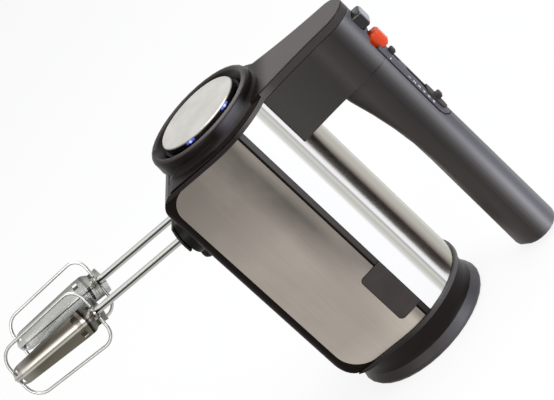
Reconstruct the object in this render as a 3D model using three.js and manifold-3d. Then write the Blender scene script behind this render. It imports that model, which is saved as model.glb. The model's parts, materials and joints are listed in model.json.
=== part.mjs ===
// Hand mixer: round motor body, straight handle, and two counter-turning beaters.
//
// The mixer stands on its heel. +Z is up and also points to the front of the body,
// +X points from the motor axis to the handle (the beaters reach along -X), and
// -Y is the left side of the mixer. The origin is the centre of the flat heel.
// Inside the group "body" heights along Z are counted from the front of the badge.

import * as THREE from 'three';
import { mergeVertices } from 'three/addons/utils/BufferGeometryUtils.js';
import Module from 'manifold-3d';

const wasm = await Module();
wasm.setup();

// ---------------------------------------------------------------- driving sizes (mm)

const gap = 0.3;                 // between pieces that touch
const wall = 2.4;                // moulded housings

// motor body
const bodyRadius = 48.5;         // round top and flat sides
const bellyDepth = 47.8;         // axis to the flat underside
const bellyCorner = 10;          // rounding between a side and the underside
const bodyLength = 172.5;        // chrome and side panels, between the two flanges
const frontDepth = 14.6;         // badge to the rear face of the front flange
const flangeProud = 1.6;         // both flanges stand out of the body
const flangeThick = 2.9;
const farReach = 300;            // longer than any cut through the mixer
const noseCorner = 20;           // underside to the front, seen from the side
const tailCorner = 21;           // underside to the rear, seen from the side

// badge and bezel
const badgeRadius = 30;
const badgeThick = 4;
const bezelRadius = 39;
const neckFlare = 2.2;           // slimmest part of the neck outside the bezel
const bezelRecess = 6.6;         // depth of the dished wall round the badge
const apronThick = 1;
const nosePartLine = -33;        // lower end of the front cover, under the axis
const boardRadius = 33;          // round lamp board behind the badge

// chrome tube, strips and side panels
const chromeThick = 1.6;
const chromeEdge = 24.5;         // height of its lower edges over the axis
const panelTop = 20;
const panelBottom = -39.8;
const panelThick = 0.9;
const panelNoseCorner = 15;
const panelTailCorner = 19;
const tabLength = 39.4;           // screw cover that overlaps the panel's upper edge
const tabDrop = 16.3;
const tabFromTail = 10;
const tabProud = 0.4;
const tabCorner = 3;

// heel
const heelLength = 24;
const heelProud = 0.4;           // foot, outside the flanges
const neckStep = 1.7;            // neck, inside the body
const ventCount = 12;
const ventAt = 31;               // heel axis to the middle of a vent
const ventLong = 14;
const ventWide = 2.5;

// riser and handle
const gripTop = 114.2;           // axis to the top of the handle, at the controls
const gripRadius = 15;           // round top of the handle
const gripDepth = 30.7;          // top to keel, at the fingers
const gripSwell = 1.1;           // rise of the top from the controls to the end
const gripLength = 197.5;        // from the front flange to the end of the handle
const gripEndRound = 4.5;
const inletRadius = 5.4;         // cord inlet in the end of the handle
const inletBore = 3.4;
const inletDepth = 9;
const throatDrop = 12.1;         // extra depth of the handle behind the riser
const throatLength = 66;
const throatLap = 9;             // how far the handle runs into the riser
const keelRadius = 10.5;
const riserLean = 0.033;         // forward lean of the riser, as a slope
const riserDepth = 37.6;
const bandDepth = 5.2;           // band between the riser and its front plate
const plateDepth = 0.7;
const riserFoot = 26;            // half width where the riser meets the body
const riserRoot = 12;            // how far its outline runs into the body's round

// controls on top of the handle, measured back from the front flange
const panelCutFront = 17.3;      // inset control plate
const panelCutRear = 94.6;
const controlHalf = 8.6;
const controlThick = 1.8;
const ledge = 1.2;               // rim in the housing that carries the plate
const ejectAt = 8.6;
const ejectWide = 12;
const ejectLong = 12;
const ejectTravel = 5;
const turboAt = 26;
const turboWide = 8.2;
const turboLong = 12.6;
const turboTravel = 2.5;
const lockAt = 38;
const lockTravel = 6;
const speedAt = 80.4;
const speedTravel = 23.5;
const shoeLong = 20;             // slider's thin shoe, which hides its slot
const shoeWide = 10.4;
const shoeThick = 0.8;
const shoeBehind = 9.6;          // knob to the rear end of the shoe

// drive
const socketBack = 50.7;         // badge to the beater axes
const wheelCentre = 19.2;        // motor axis to each beater axis
const wormStarts = 2;
const wheelTeeth = 24;
const wormModule = 1.25;
const wheelWidth = 7;
const shaftRadius = 2.5;
const armatureRadius = 15;
const stackLength = 28;
const stackAt = 114;             // badge to the middle of the motor's iron
const wormLength = 14;
const spindleRadius = 5;
const bushRadius = 5.5;
const wheelBush = 7.5;           // bush of each spindle
const gearFront = -29;           // gear frame, counted from the badge
const gearBack = -74;
const gearFloor = -17;           // underside of the gear frame, from the axis
const gearRoof = 11.5;
const gearPlate = 3;             // thickness of its walls
const postAcross = 30;           // screw posts under the gear frame
const postRadius = 3.5;
const rib = 3;                   // ribs of the lower housing that carry the motor
const yokeHigh = 54;
const yokeWide = 60;
const poleHigh = 18;             // axis to the back of a pole piece
const cradleAt = 9;              // middle of the stack to either cradle
const bracketHigh = 36;
const bracketWide = 64;
const brushWide = 6;
const passageHalf = 10;          // passage through the chrome under the riser
const passageNose = 3.4;
const passageTail = 6.2;
const fanRadius = 24;
const fanLong = 10;
const fanAt = -85;
const fanVanes = 8;
const commutatorRadius = 9;
const brushAt = -144.5;
const bracketAt = -164;

// beaters
const beaterRadius = 2.55;       // round shaft
const beaterTail = 13;           // shaft end over the motor axis
const headTop = 137;             // motor axis down to the top of the head
const headLength = 74;
const loopHalf = 21;             // wire loop, shaft to wire, under the collar
const loopTaper = 1.8;           // how much closer the wire is at the tip
const wireRadius = 1.15;
const bladeHalf = 18.2;          // blade loop, shaft to strip
const bladeWidth = 13.6;         // strip under the collar
const bladeTip = 10;             // strip at the tip
const bladeThick = 1.1;
const bladeFold = 1.6;           // height of the ridge along each strip
const windowWide = 2.6;          // punched windows beside the ridge
const windowLong = 3.6;
const leftPhase = -20;           // degrees that the left wire loop is turned at rest
const rightPhase = -45 - leftPhase;
const bossProud = 10.2;          // face of the beater boss below the belly
const bossDrop = bellyDepth + bossProud;
const bossFront = 13;            // beater axes to the flat front of the boss
const socketPlateTail = 4.2;     // beater axes to the rear edge of the socket plate
const lugAt = -68;
const lugRadius = 5;

// worked out from the sizes above
const tailDepth = frontDepth + bodyLength;
const heelDepth = tailDepth + flangeThick + heelLength;
const heelRadius = bodyRadius + flangeProud + heelProud;
const neckRadius = bodyRadius - neckStep;
const gripAxis = gripTop - gripRadius;
const gripEnd = -frontDepth - gripLength;
const wheelPitch = wormModule * wheelTeeth / 2;
const wormPitch = wheelCentre - wheelPitch;

// ---------------------------------------------------------------- finishes

const finishes = {
  shell: { color: 0x47413f, roughness: 0.5, metalness: 0 },
  shellDark: { color: 0x2a2625, roughness: 0.45, metalness: 0 },
  chrome: { color: 0xe8e8ea, roughness: 0.08, metalness: 1 },
  brushed: { color: 0x9b928a, roughness: 0.4, metalness: 1 },
  silver: { color: 0xd6d5d2, roughness: 0.35, metalness: 1 },
  steel: { color: 0xb9bbba, roughness: 0.25, metalness: 1 },
  orange: { color: 0xe5552a, roughness: 0.4, metalness: 0 },
  light: { color: 0x3d4fd0, roughness: 0.2, metalness: 0 },
  copper: { color: 0xb4703a, roughness: 0.4, metalness: 1 },
  iron: { color: 0x6a6d70, roughness: 0.55, metalness: 1 },
  brass: { color: 0xb99545, roughness: 0.35, metalness: 1 },
  nylon: { color: 0xe6e2d4, roughness: 0.55, metalness: 0 },
  carbon: { color: 0x242424, roughness: 0.8, metalness: 0 },
  board: { color: 0x1f6b45, roughness: 0.6, metalness: 0 },
  rubber: { color: 0x1c1b1b, roughness: 0.85, metalness: 0 },
};

// ---------------------------------------------------------------- solid helpers

// A closed geometry as a solid, whichever way its faces point.
function solid(geometry) {
  const bare = geometry.index ? geometry.toNonIndexed() : geometry.clone();
  bare.deleteAttribute('normal');
  bare.deleteAttribute('uv');
  const merged = mergeVertices(bare, 1e-4);
  const triVerts = [];
  const index = merged.index.array;
  for (let i = 0; i < index.length; i += 3) {
    const [a, b, c] = [index[i], index[i + 1], index[i + 2]];
    if (a !== b && b !== c && a !== c) triVerts.push(a, b, c);
  }
  if (signedVolume(merged.attributes.position, triVerts) < 0) triVerts.reverse();
  return new wasm.Manifold(new wasm.Mesh({
    numProp: 3,
    vertProperties: new Float32Array(merged.attributes.position.array),
    triVerts: new Uint32Array(triVerts),
  }));
}

function signedVolume(position, triangles) {
  const [a, b, c] = [new THREE.Vector3(), new THREE.Vector3(), new THREE.Vector3()];
  let sum = 0;
  for (let i = 0; i < triangles.length; i += 3) {
    a.fromBufferAttribute(position, triangles[i]);
    b.fromBufferAttribute(position, triangles[i + 1]);
    c.fromBufferAttribute(position, triangles[i + 2]);
    sum += a.dot(b.cross(c));
  }
  return sum / 6;
}

function geometryOf(manifold) {
  const mesh = manifold.getMesh();
  const geometry = new THREE.BufferGeometry();
  const stride = mesh.numProp;
  const count = mesh.vertProperties.length / stride;
  const position = new Float32Array(count * 3);
  for (let i = 0; i < count; i++) {
    for (let k = 0; k < 3; k++) position[3 * i + k] = mesh.vertProperties[stride * i + k];
  }
  geometry.setAttribute('position', new THREE.BufferAttribute(position, 3));
  geometry.setIndex(Array.from(mesh.triVerts));
  geometry.computeVertexNormals();
  return geometry;
}

const join = (...pieces) => pieces.reduce((sum, piece) => sum.add(piece));
const cut = (base, ...tools) => tools.reduce((rest, tool) => rest.subtract(tool), base);
const overlap = (a, b) => a.intersect(b);

const between = (a, b) => [Math.min(a, b), Math.max(a, b)];

// Straight prism along Z between two heights; the outline lies in X and Y.
function prism(outline, from, to, curveSegments = 5) {
  const geometry = new THREE.ExtrudeGeometry(outline, {
    depth: to - from, bevelEnabled: false, curveSegments,
  });
  return geometry.translate(0, 0, from);
}

// Prism across the body, along Y; the outline is drawn as (X, Z).
function crossPrism(outline, from, to, curveSegments = 6) {
  const geometry = prism(outline, from, to, curveSegments);
  return geometry.rotateX(Math.PI / 2).scale(1, -1, 1);
}

// Prism along X; the outline is drawn as (Y, Z).
function sidePrism(outline, from, to, curveSegments = 3) {
  const geometry = prism(outline, from, to, curveSegments);
  return geometry.applyMatrix4(new THREE.Matrix4().makeBasis(
    new THREE.Vector3(0, 1, 0), new THREE.Vector3(0, 0, 1), new THREE.Vector3(1, 0, 0)));
}

// Turned piece round the Z axis from [radius, height] pairs.
function turned(profile, segments = 48) {
  const points = profile.map(([radius, height]) => new THREE.Vector2(radius, height));
  return new THREE.LatheGeometry(points, segments).rotateX(Math.PI / 2);
}

// Turned piece round an axis parallel to X.
function turnedX(profile, segments = 24) {
  return turned(profile, segments).rotateY(Math.PI / 2);
}

// Turned ring: the profile closes on itself.
const ring = (profile, segments) => turned([...profile, profile[0]], segments);

const tube = (outer, inner, from, to, segments = 24) => ring(
  [[inner, from], [outer, from], [outer, to], [inner, to]], segments);

const rod = (radius, from, to, segments = 24) => turned(
  [[0, from], [radius, from], [radius, to], [0, to]], segments);

function box(x, y, z) {
  const geometry = new THREE.BoxGeometry(x[1] - x[0], y[1] - y[0], z[1] - z[0]);
  return geometry.translate((x[0] + x[1]) / 2, (y[0] + y[1]) / 2, (z[0] + z[1]) / 2);
}

// Closed skin through rings of equally many points, capped at both ends.
function loft(rings) {
  const sides = rings[0].length;
  const position = rings.flat().flatMap((point) => point.toArray());
  const index = [];
  for (let k = 0; k + 1 < rings.length; k++) {
    for (let i = 0; i < sides; i++) {
      const a = k * sides + i;
      const b = k * sides + (i + 1) % sides;
      index.push(a, b, b + sides, a, b + sides, a + sides);
    }
  }
  const last = (rings.length - 1) * sides;
  for (let i = 1; i + 1 < sides; i++) {
    index.push(0, i + 1, i, last, last + i, last + i + 1);
  }
  const geometry = new THREE.BufferGeometry();
  geometry.setAttribute('position', new THREE.Float32BufferAttribute(position, 3));
  geometry.setIndex(index);
  return geometry;
}

// Rectangle with four rounded corners, centred on a point.
function roundedBox(cx, cy, width, height, radius) {
  const [x0, x1] = [cx - width / 2, cx + width / 2];
  const [y0, y1] = [cy - height / 2, cy + height / 2];
  const quarter = Math.PI / 2;
  const shape = new THREE.Shape();
  shape.moveTo(x0 + radius, y0);
  shape.lineTo(x1 - radius, y0);
  shape.absarc(x1 - radius, y0 + radius, radius, -quarter, 0);
  shape.absarc(x1 - radius, y1 - radius, radius, 0, quarter);
  shape.absarc(x0 + radius, y1 - radius, radius, quarter, 2 * quarter);
  shape.absarc(x0 + radius, y0 + radius, radius, 2 * quarter, 3 * quarter);
  return shape;
}

// ---------------------------------------------------------------- shared outlines

// Cross-section of the body: round over the axis, flat sides, rounded belly.
function bodySection(inset) {
  const radius = bodyRadius - inset;
  const corner = bellyCorner - Math.min(inset, bellyCorner - 1);
  const low = inset - bellyDepth;
  const quarter = Math.PI / 2;
  const shape = new THREE.Shape();
  shape.absarc(0, 0, radius, -quarter, quarter);
  shape.absarc(low + corner, radius - corner, corner, quarter, 2 * quarter);
  shape.absarc(low + corner, corner - radius, corner, 2 * quarter, 3 * quarter);
  return shape;
}

// The body seen from the side, as (X, Z): open at the top, rounded below.
function bodySide(inset, front, tail) {
  const low = inset - bellyDepth;
  const nose = noseCorner - inset;
  const heel = tailCorner - inset;
  const quarter = Math.PI / 2;
  const shape = new THREE.Shape();
  shape.moveTo(2 * gripTop, front);
  shape.lineTo(low + nose, front);
  shape.absarc(low + nose, front - nose, nose, quarter, 2 * quarter);
  shape.absarc(low + heel, tail + heel, heel, 2 * quarter, 3 * quarter);
  shape.lineTo(2 * gripTop, tail);
  return shape;
}

// Steel side panel seen from the side, as (X, Z).
function panelOutline(grow) {
  const front = -frontDepth - gap + grow;
  const tail = -tailDepth + gap - grow;
  const low = panelBottom - grow;
  const top = panelTop + grow;
  const nose = panelNoseCorner + grow;
  const heel = panelTailCorner + grow;
  const quarter = Math.PI / 2;
  const shape = new THREE.Shape();
  shape.moveTo(top, front);
  shape.lineTo(low + nose, front);
  shape.absarc(low + nose, front - nose, nose, quarter, 2 * quarter);
  shape.absarc(low + heel, tail + heel, heel, 2 * quarter, 3 * quarter);
  shape.lineTo(top, tail);
  return shape;
}

// Screw cover on the panel's upper edge, as (X, Z).
function tabOutline(grow) {
  const tail = -tailDepth + tabFromTail;
  const [low, high] = [chromeEdge - tabDrop - grow, chromeEdge - gap + grow];
  const radius = tabCorner + grow;
  const quarter = Math.PI / 2;
  const shape = new THREE.Shape();
  shape.moveTo(high, tail + tabLength + grow);
  shape.lineTo(low + radius, tail + tabLength + grow);
  shape.absarc(low + radius, tail + tabLength + grow - radius, radius, quarter, 2 * quarter);
  shape.absarc(low + radius, tail - grow + radius, radius, 2 * quarter, 3 * quarter);
  shape.lineTo(high, tail - grow);
  return shape;
}

// Riser seen from the front, as (X, Y): a round top that flares to the foot.
function riserOutline(inset) {
  const top = gripRadius - inset;
  const foot = riserFoot - inset;
  const low = bodyRadius - riserRoot;
  const [sweepUp, sweepIn, shoulder] = [20, 6, 18];
  const shape = new THREE.Shape();
  shape.moveTo(low, -foot);
  shape.bezierCurveTo(low + sweepUp, sweepIn - foot, gripAxis - shoulder, -1 - top,
    gripAxis, -top);
  shape.absarc(gripAxis, 0, top, -Math.PI / 2, Math.PI / 2);
  shape.bezierCurveTo(gripAxis - shoulder, 1 + top, low + sweepUp, foot - sweepIn, low, foot);
  return shape;
}

// A riser layer between two leaning planes, measured forward from the rear face of
// the front flange.
function riserLayer(inset, from, to) {
  const geometry = prism(riserOutline(inset), from, to, 10);
  const lean = new THREE.Matrix4().set(
    1, 0, 0, 0, 0, 1, 0, 0, riserLean, 0, 1, -frontDepth - riserLean * bodyRadius, 0, 0, 0, 1);
  return solid(geometry.applyMatrix4(lean));
}

// Top of the handle: level over the controls, then a slight rise to the end.
function crownAt(z) {
  const behind = (-z - frontDepth - panelCutRear) / (gripLength - panelCutRear);
  return gripTop + gripSwell * Math.min(Math.max(behind, 0), 1);
}

// Underside of the handle: a deep throat behind the riser fairs into the grip.
function keelAt(z) {
  const behind = (-z - frontDepth - riserDepth) / throatLength;
  const along = Math.min(Math.max(behind, 0), 1);
  return gripTop - gripDepth - throatDrop * (1 - along) ** 1.65;
}

// Ring of the handle at one station: the outline of a big circle over a small one.
function gripRing(z, inset, sides) {
  const [crown, keel] = [crownAt(z), keelAt(z)];
  const upper = Math.min(gripRadius, (crown - keel) / 2);
  const lower = Math.min(upper, keelRadius);
  const points = [];
  for (let i = 0; i < sides; i++) {
    const angle = 2 * Math.PI * i / sides;
    const [nx, ny] = [Math.cos(angle), Math.sin(angle)];
    const high = (crown - upper) * nx + upper;
    const low = (keel + lower) * nx + lower;
    const [centre, radius] = high > low ? [crown - upper, upper] : [keel + lower, lower];
    const reach = radius - inset;
    points.push(new THREE.Vector3(centre + reach * nx, reach * ny, z));
  }
  return points;
}

// Handle solid, set in from the outside by a wall.
function grip(inset, sides = 20, stations = 10) {
  const start = -frontDepth - riserDepth + throatLap;
  const end = gripEnd + inset;
  const round = Math.max(gripEndRound - inset, 1);
  const rings = [];
  for (let k = 0; k < stations; k++) {
    rings.push(gripRing(start + (end + round - start) * k / stations, inset, sides));
  }
  for (let k = 0; k <= 3; k++) {
    const turn = k / 3 * Math.PI / 2;
    const narrowed = gripRing(end + round, inset + round * (1 - Math.cos(turn)), sides);
    for (const point of narrowed) point.z = end + round * (1 - Math.sin(turn));
    rings.push(narrowed);
  }
  return solid(loft(rings));
}

// Cylinder on one beater axis, and on both.
const socket = (radius, from, to, side) => solid(turnedX(
  [[0, from], [radius, from], [radius, to], [0, to]], 12,
).translate(0, side * wheelCentre, -socketBack));

const bothSockets = (radius, from, to) => join(
  socket(radius, from, to, -1), socket(radius, from, to, 1));

// ---------------------------------------------------------------- scene graph

const mixer = new THREE.Group();
const body = new THREE.Group();
body.position.z = heelDepth;
mixer.add(body);

function add(group, name, shape, finish) {
  const manifold = shape.isBufferGeometry ? solid(shape) : shape;
  const material = new THREE.MeshStandardMaterial({ name: finish, ...finishes[finish] });
  const mesh = new THREE.Mesh(geometryOf(manifold), material);
  mesh.name = name;
  group.add(mesh);
  return mesh;
}

// ---------------------------------------------------------------- front end

const frameFront = flangeThick - frontDepth;
const coverBack = frameFront + gap;
const coverFront = coverBack + apronThick;
const sideLimit = (inset) => solid(crossPrism(
  bodySide(inset, coverFront - inset, inset - tailDepth - flangeThick),
  -2 * bodyRadius, 2 * bodyRadius));
const flangeLimit = sideLimit(0);

// Bezel dish, flared neck, apron and the riser's front plate are one moulding.
function frontCover() {
  const rim = bodyRadius + flangeProud - 0.7;
  const seat = badgeThick + gap;
  const floor = bezelRecess + 2.8;
  const well = badgeRadius + 2.2;
  const pedestal = badgeRadius - 2.1;
  const neck = bezelRadius + neckFlare;
  const flareTop = coverFront + 3.4;
  const bezel = solid(turned([
    [0, coverBack], [neck + 0.4, coverBack], [neck, flareTop], [neck, -3.6],
    [neck - 0.6, -2.2], [neck - 1.6, -1.2], [neck - 3, -0.8], [neck - 4.6, -1.5],
    [well, -bezelRecess], [well, -floor], [pedestal, -floor], [pedestal, -seat], [0, -seat],
  ], 36));
  const flare = solid(ring([
    [well + 3, coverBack], [rim, coverBack], [rim, coverBack + 0.5], [neck + 4.8, coverFront],
    [neck + 2, coverFront + 1.1], [neck, flareTop], [well + 3, flareTop],
  ], 36));
  // under the axis the flare dies away into the nose, and the neck runs on to it
  const [noseTop, chin] = [noseCorner - bellyDepth, 6];
  const dip = noseCorner - Math.sqrt(noseCorner ** 2 - chin ** 2);
  const fade = solid(crossPrism(new THREE.Shape([
    [noseTop - chin, coverFront - dip], [noseTop - chin, -frontDepth],
    [farReach, -frontDepth], [farReach, flareTop], [noseTop + chin, flareTop],
  ].map(([x, z]) => new THREE.Vector2(x, z))), -farReach, farReach));
  const throat = cut(solid(rod(neck, coverBack - chin, coverBack, 36)), sideLimit(-gap));
  const apron = overlap(
    overlap(solid(prism(bodySection(0.7 - flangeProud), coverBack, coverFront, 12)),
      flangeLimit),
    solid(box([nosePartLine, 0], [-farReach, farReach], [-frontDepth, 0])));
  const plateBack = bandDepth + gap;
  const plate = cut(riserLayer(0, plateBack, plateBack + plateDepth),
    solid(rod(pedestal, -floor, farReach)));
  const root = overlap(riserLayer(0, 0, plateBack + plateDepth),
    solid(rod(rim, coverBack, 0, 36)));
  const opening = solid(rod(well, -bezelRecess, farReach));
  return join(bezel, overlap(flare, join(fade, flangeLimit)), throat, apron,
    cut(join(plate, root), opening));
}

// Flange ring that carries on up the riser as a band behind its front plate.
function frontFrame() {
  const plate = overlap(
    solid(prism(bodySection(-flangeProud), -frontDepth, frameFront, 14)), flangeLimit);
  const band = cut(
    riserLayer(0, 0, bandDepth),
    solid(rod(bodyRadius + flangeProud - 0.7 + gap, frameFront, 0, 36)),
    solid(rod(bodyRadius + gap, -farReach, -frontDepth, 36)),
    solid(rod(bodyRadius - flangeProud, -farReach, 0, 36)));
  const boardHole = solid(rod(boardRadius + 2, -farReach, 0));
  return cut(join(plate, band), boardHole);
}

add(body, 'front_cover', frontCover(), 'shell');
add(body, 'front_frame', frontFrame(), 'shell');

const bevel = 0.9;
add(body, 'medallion', turned([
  [0, -badgeThick], [badgeRadius, -badgeThick], [badgeRadius, -bevel],
  [badgeRadius - bevel, 0], [0, 0],
], 36), 'silver');
add(body, 'light_ring', tube(badgeRadius + 1.9, badgeRadius - 1.8,
  -bezelRecess - 2.5, -bezelRecess + 1.4, 24), 'light');
add(body, 'led_board', tube(boardRadius, boardRadius - 9,
  coverBack - gap - 1.6, coverBack - gap, 20), 'board');

// ---------------------------------------------------------------- body shells

const shellFront = -frontDepth - gap;
const shellTail = -tailDepth + gap;
const section = (inset) => solid(prism(bodySection(inset), shellTail, shellFront, 14));
const skin = (outer, inner) => cut(section(outer), section(inner));
const panelRecess = panelThick + gap;

function chromeShell() {
  const cap = overlap(skin(0, chromeThick), solid(
    box([chromeEdge, farReach], [-farReach, farReach], [-farReach, farReach])));
  const passage = solid(box([chromeEdge, farReach], [-passageHalf, passageHalf],
    [passageTail - frontDepth - riserDepth, -frontDepth - passageNose]));
  return cut(cap, passage);
}

function lowerHousing() {
  const outside = overlap(section(0), sideLimit(0));
  const inside = overlap(section(wall), sideLimit(wall));
  const trough = overlap(cut(outside, inside), solid(box(
    [-farReach, chromeEdge - gap], [-farReach, farReach], [-farReach, farReach])));
  const recesses = join(solid(crossPrism(panelOutline(gap), -farReach, farReach)),
    solid(crossPrism(tabOutline(gap), -farReach, farReach)));
  const sunk = cut(trough, overlap(recesses, skin(0, panelRecess)));
  const floor = wall / 2 - bellyDepth;
  const posts = [gearFront - 4, gearBack + 4].flatMap((z) => [-postAcross, postAcross].map(
    (y) => solid(turnedX([[0, floor], [postRadius, floor], [postRadius, gearFloor - gap],
      [0, gearFloor - gap]], 8).translate(0, y, z))));
  const cradles = [-cradleAt, cradleAt].map((z) => solid(box(
    [floor, -yokeHigh / 2 - gap], [-yokeWide * 0.4, yokeWide * 0.4],
    [z - stackAt - rib / 2, z - stackAt + rib / 2])));
  const bracketSeat = solid(box([floor, -bracketHigh / 2 - gap],
    [-bracketWide * 0.3, bracketWide * 0.3], [bracketAt - rib, bracketAt + rib]));
  const spindleHoles = bothSockets(spindleRadius + 1, -bossDrop, 1 - bellyDepth + wall);
  return cut(join(sunk, ...posts, ...cradles, bracketSeat), spindleHoles);
}

function sidePanel(side) {
  const half = between(0, side * farReach);
  const sheet = overlap(solid(crossPrism(panelOutline(0), ...half)), skin(0, panelThick));
  return cut(sheet, solid(crossPrism(tabOutline(gap), -farReach, farReach)));
}

function sideTab(side) {
  const half = between(0, side * farReach);
  const shell = cut(
    solid(prism(bodySection(-tabProud), shellTail, shellFront, 14)), section(panelThick));
  return overlap(solid(crossPrism(tabOutline(0), ...half)), shell);
}

add(body, 'chrome_shell', chromeShell(), 'chrome');
add(body, 'lower_housing', lowerHousing(), 'shellDark');
for (const [name, side] of [['left', -1], ['right', 1]]) {
  add(body, `side_panel_${name}`, sidePanel(side), 'brushed');
  add(body, `side_tab_${name}`, sideTab(side), 'shell');
}

// ---------------------------------------------------------------- rear end

// Flange that closes the shells, shaped like the front one.
function rearFrame() {
  const plate = overlap(solid(prism(bodySection(-flangeProud),
    -tailDepth - flangeThick, -tailDepth, 14)), flangeLimit);
  return cut(plate, solid(rod(neckRadius - 2.5 * wall, -farReach, 0)));
}

// Neck and flared foot: the mixer stands upright on its flat heel.
function rearCap() {
  const top = -tailDepth - flangeThick - gap;
  const inner = neckRadius - 1.6 * wall;
  const foot = heelRadius - 3.2;
  const shell = solid(turned([
    [0, -heelDepth], [foot, -heelDepth], [foot + 2.2, -heelDepth + 0.9],
    [heelRadius, -heelDepth + 2.8], [heelRadius - 0.3, -heelDepth + 4.6],
    [neckRadius + 1, -heelDepth + 9], [neckRadius, -heelDepth + 14],
    [neckRadius + 1.4, top], [inner, top], [inner, -heelDepth + wall],
    [0, -heelDepth + wall],
  ], 36));
  const slots = [];
  for (let k = 0; k < ventCount; k++) {
    const slot = box([ventAt - ventLong / 2, ventAt + ventLong / 2],
      [-ventWide / 2, ventWide / 2], [-heelDepth - wall, -heelDepth + 2 * wall]);
    slots.push(solid(slot.rotateZ(2 * Math.PI * k / ventCount)));
  }
  return cut(shell, ...slots);
}

add(body, 'rear_frame', rearFrame(), 'shell');
add(body, 'rear_cap', rearCap(), 'shellDark');

// ---------------------------------------------------------------- riser and handle

const tubeRelief = solid(rod(bodyRadius + gap, -farReach, 0, 36));
const deckFloor = gripAxis + 3;      // under every cut in the top of the handle

// Opening outline on top of the handle, as (Y, Z): pointed front, round rear.
function controlOutline(grow) {
  const front = -frontDepth - panelCutFront + grow;
  const tail = -frontDepth - panelCutRear - grow;
  const half = controlHalf + grow;
  const shape = new THREE.Shape();
  shape.moveTo(-half, front - 5);
  shape.lineTo(-half, tail + half);
  shape.absarc(0, tail + half, half, Math.PI, 2 * Math.PI);
  shape.lineTo(half, front - 5);
  shape.lineTo(half - 4, front);
  shape.lineTo(4 - half, front);
  return shape;
}

const controlColumn = (grow) => solid(sidePrism(controlOutline(grow), deckFloor, farReach));

// Upright hole or block with a rounded outline, through the top of the handle.
const column = (along, width, length, radius) => solid(sidePrism(
  roundedBox(0, -frontDepth - along, width, length, radius), deckFloor, farReach));
const outerGrip = grip(0);
const controlSeat = grip(controlThick + gap);

function handleHousing() {
  const outside = cut(join(riserLayer(0, -riserDepth, -gap), outerGrip), tubeRelief);
  const inside = join(riserLayer(wall, wall - riserDepth, bandDepth), grip(wall, 12, 5));
  const seat = cut(controlColumn(gap), controlSeat);
  const window = controlColumn(-ledge);
  const ejectWell = column(ejectAt, ejectWide + 2 * gap, ejectLong + 2 * gap, 3);
  const inlet = solid(rod(inletRadius + gap, gripEnd - wall, gripEnd + 2 * wall, 16)
    .translate(gripAxis, 0, 0));
  return cut(outside, inside, seat, window, ejectWell, inlet);
}

function controlPlate() {
  const plate = cut(overlap(controlColumn(0), outerGrip), grip(controlThick));
  const turboHole = column(turboAt, turboWide + 2 * gap, turboLong + 2 * gap, 2);
  const lockHole = column(lockAt + lockTravel / 2, 3.4, 4.6 + lockTravel, 1);
  const speedHole = column(speedAt - speedTravel / 2, 5, 9 + speedTravel, 2.45);
  return cut(plate, turboHole, lockHole, speedHole);
}

add(body, 'handle_housing', handleHousing(), 'shell');
add(body, 'control_plate', controlPlate(), 'shell');
add(body, 'cord_inlet', tube(inletRadius, inletBore, gripEnd + gap, gripEnd + inletDepth, 16)
  .translate(gripAxis, 0, 0), 'rubber');

// ---------------------------------------------------------------- controls

// Key with a rounded outline in Y and Z, and a sloping edge round its top.
function key(y, z, width, length, radius, from, to, bevel) {
  const ringAt = (x, inset) => roundedBox(
    y, z, width - 2 * inset, length - 2 * inset, radius - Math.min(inset, radius - 0.3),
  ).getPoints(2).slice(0, -1).map((point) => new THREE.Vector3(x, point.x, point.y));
  return solid(loft([ringAt(from, 0), ringAt(to - bevel, 0), ringAt(to, bevel)]));
}

const alongGrip = (distance) => -frontDepth - distance;
const plateUnder = gripTop - controlThick;
const boardTop = gripAxis - 2.1;

// Slide with a knob over the control plate, a stem through it and a foot under it.
function slide(at, knob, stem, stemFoot) {
  const z = alongGrip(at);
  const block = (width, length, from, to) => solid(box(
    [from, to], [-width / 2, width / 2], [z - length / 2, z + length / 2]));
  return join(
    key(0, z, knob[0], knob[1], 1, gripTop + gap, gripTop + knob[2], 0.7),
    block(stem[0], stem[1], stemFoot, gripTop + 1),
    block(stem[0] + 2.4, stem[1], plateUnder - 2.6, plateUnder - 0.9));
}

const ejectFoot = gripAxis + 5;
const turboFoot = gripAxis + 6;
add(body, 'eject_button', key(0, alongGrip(ejectAt), ejectWide, ejectLong, 2.7,
  ejectFoot, gripTop + 5.2, 1.4), 'shellDark');
add(body, 'turbo_button', key(0, alongGrip(turboAt), turboWide, turboLong, 1.8,
  turboFoot, gripTop + 4.3, 1.6), 'orange');
add(body, 'lock_switch', slide(lockAt, [4.6, 4.4, 2.7], [2.8, 4], plateUnder - 3), 'shell');

// The speed knob stands on a thin shoe that follows the round of the handle.
function speedSlider() {
  const shoe = overlap(
    column(speedAt + shoeBehind - shoeLong / 2, shoeWide, shoeLong, shoeWide / 2 - 0.1),
    cut(grip(-gap - shoeThick), grip(-gap)));
  return join(shoe, slide(speedAt, [5.2, 4.4, 3.8], [4.2, 6], boardTop + 4.2));
}

add(body, 'speed_slider', speedSlider(), 'shell');

add(body, 'control_board', box([boardTop - 1.6, boardTop], [-9.4, 9.4],
  [alongGrip(97), alongGrip(21)]), 'board');
add(body, 'turbo_switch', box([boardTop + gap, turboFoot - turboTravel - gap], [-3, 3],
  [alongGrip(turboAt + 6), alongGrip(turboAt - 6)]), 'shellDark');
add(body, 'speed_control', box([boardTop + gap, boardTop + 3.9], [-3.5, 3.5],
  [alongGrip(speedAt + 5), alongGrip(speedAt - speedTravel - 5)]), 'shellDark');

// ---------------------------------------------------------------- eject slide

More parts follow.
